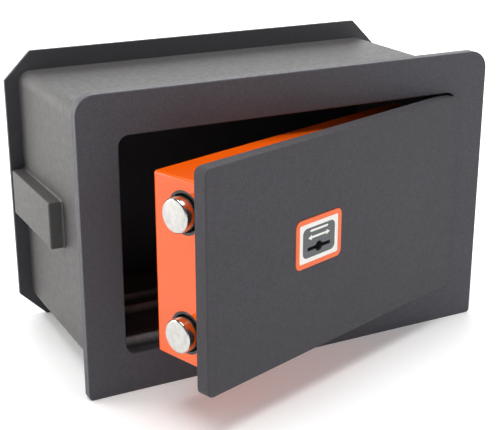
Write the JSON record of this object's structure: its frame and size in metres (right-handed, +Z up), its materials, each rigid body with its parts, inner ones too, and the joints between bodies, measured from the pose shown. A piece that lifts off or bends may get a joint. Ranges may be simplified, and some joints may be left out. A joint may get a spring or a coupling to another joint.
{
  "type": "wall safe",
  "caption": "Recessed steel wall safe with a thick front frame, an anchored box body, a flush door on hidden pivots, a cover box on its back and round bolts thrown by a key lock.",
  "frame": {"origin": "centre of the front frame's back face, which bears on the finished wall", "axes": "+X to the right as one faces the door, +Y into the wall, +Z up; the door opens towards -Y"},
  "size_m": [0.314, 0.2361, 0.206],
  "materials": {
    "frame_coat": "dark grey powder coat",
    "body_coat": "dark grey powder coat",
    "rear_coat": "dark grey powder coat",
    "door_coat": "dark grey powder coat",
    "orange_paint": "gloss orange powder coat",
    "bolt_chrome": "polished, lightly brushed end",
    "zinc_steel": "zinc plated",
    "black_steel": "black oxide",
    "hardened_steel": "dark, hardened",
    "spring_steel": "bare",
    "brass": "bare",
    "black_plastic": "matte",
    "escutcheon_orange": "satin",
    "escutcheon_white": "satin",
    "escutcheon_grey": "satin",
    "felt": "needled felt"
  },
  "bodies": {
    "safe_body": {"front_frame": "frame_coat", "body_shell": "body_coat", "rear_plate": "rear_coat", "anchor_bar_left": "body_coat", "anchor_bar_right": "body_coat", "hinge_bracket_upper": "body_coat", "hinge_bracket_lower": "body_coat", "floor_mat": "felt"},
    "door": {"door_plate": "door_coat", "escutcheon_frame": "escutcheon_orange", "escutcheon_band": "escutcheon_white", "escutcheon_tag": "escutcheon_grey", "hinge_arm_upper": "zinc_steel", "hinge_arm_lower": "zinc_steel", "hinge_pin_upper": "zinc_steel", "hinge_pin_lower": "zinc_steel", "hinge_washers": "brass", "door_box": "orange_paint", "box_standoffs": "zinc_steel", "box_screws": "black_steel", "bolt_bush_upper": "black_plastic", "bolt_bush_lower": "black_plastic", "bolt_guide_upper": "zinc_steel", "bolt_guide_lower": "zinc_steel", "hard_plate": "hardened_steel", "lock_case": "zinc_steel", "lock_cover": "zinc_steel", "lock_screws": "zinc_steel", "lever_posts": "zinc_steel", "lever_springs": "spring_steel"},
    "bolts": {"bolt_upper": "bolt_chrome", "bolt_lower": "bolt_chrome", "bolt_bar": "zinc_steel", "bolt_screws": "zinc_steel", "lock_tail": "zinc_steel"},
    "curtain": {"key_drum": "brass"},
    "levers": {"lever_pack": "brass"}
  },
  "joints": [
    {"name": "door_hinge", "type": "hinge", "parent": "safe_body", "child": "door", "pos_m": [0.1385, 0.0043, 0], "axis": [0, 0, 1], "range_deg": [-18.5, 60]},
    {"name": "bolt_slide", "type": "slide", "parent": "door", "child": "bolts", "axis": [-0.9483, -0.3173, 0], "range_m": [-0.0085, 0.0085]},
    {"name": "key_turn", "type": "hinge", "parent": "door", "child": "curtain", "pos_m": [-0.01731, -0.04783, 0], "axis": [-0.3173, 0.9483, 0], "range_deg": [-360, 360]},
    {"name": "lever_lift", "type": "slide", "parent": "door", "child": "levers", "axis": [0, 0, 1], "range_m": [0, 0.002], "stiffness_N_per_m": 400, "springref_m": -0.002, "deforming": ["lever_springs"]}
  ],
  "couplings": [
    {"joint": "key_turn", "follows": "bolt_slide", "rad_per_m": 739}
  ]
}
